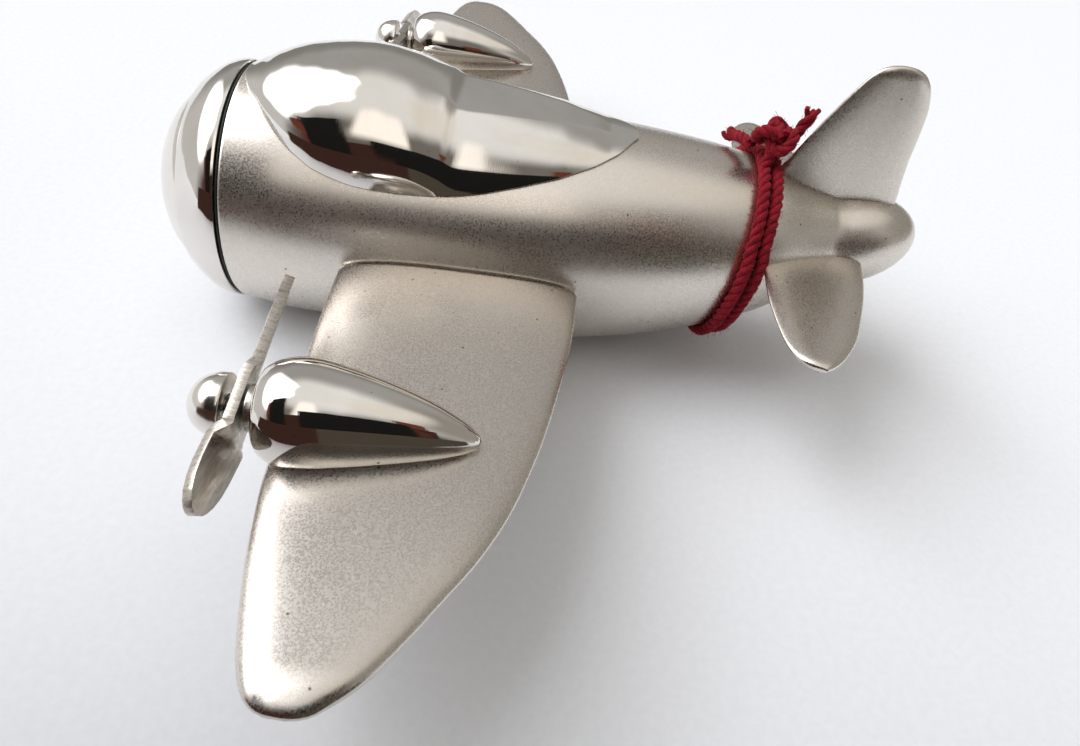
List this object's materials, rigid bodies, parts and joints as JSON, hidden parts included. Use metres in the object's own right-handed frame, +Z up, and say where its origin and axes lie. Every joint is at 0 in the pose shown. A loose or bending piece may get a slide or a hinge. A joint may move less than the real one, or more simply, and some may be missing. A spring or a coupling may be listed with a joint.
{
  "type": "toy airplane",
  "caption": "Plated metal toy airplane with a bubble canopy, rounded nose cap, engine pods on the wings and propellers that turn freely; a yarn tie is knotted round the tail.",
  "frame": {"origin": "bottom centre of the whole airplane, on the plane of the flat under the belly", "axes": "+Z up, -Y towards the nose, +X towards the port wing tip"},
  "size_m": [0.1622, 0.1128, 0.0488],
  "materials": {
    "satin_nickel": "satin nickel plate on a metal casting, fine blasted grain",
    "polished_nickel": "polished nickel plate",
    "sheared_sheet": "plated sheet metal with sheared edges",
    "screw_steel": "turned steel",
    "black_gasket": "matt black",
    "red_yarn": "deep red twisted yarn"
  },
  "bodies": {
    "airframe": {"fuselage_shell": "satin_nickel", "canopy": "polished_nickel", "nose_ring": "polished_nickel", "nose_dome": "polished_nickel", "nose_gasket": "black_gasket", "fin": "satin_nickel", "tie_loop_front": "red_yarn", "tie_loop_rear": "red_yarn", "tie_knot": "red_yarn", "tie_end_up": "red_yarn", "tie_end_side": "red_yarn", "wing_port": "satin_nickel", "nacelle_port": "polished_nickel", "spinner_port": "polished_nickel", "shaft_port": "screw_steel", "washer_port": "screw_steel", "stabilizer_port": "satin_nickel", "wing_starboard": "satin_nickel", "nacelle_starboard": "polished_nickel", "spinner_starboard": "polished_nickel", "shaft_starboard": "screw_steel", "washer_starboard": "screw_steel", "stabilizer_starboard": "satin_nickel"},
    "propeller_port": {"propeller_port": "sheared_sheet"},
    "propeller_starboard": {"propeller_starboard": "sheared_sheet"}
  },
  "joints": [
    {"name": "propeller_port_spin", "type": "hinge", "parent": "airframe", "child": "propeller_port", "pos_m": [0.05, -0.02985, 0.02255], "axis": [0, 1, 0], "continuous": true},
    {"name": "propeller_starboard_spin", "type": "hinge", "parent": "airframe", "child": "propeller_starboard", "pos_m": [-0.05, -0.02985, 0.02255], "axis": [0, 1, 0], "continuous": true}
  ]
}
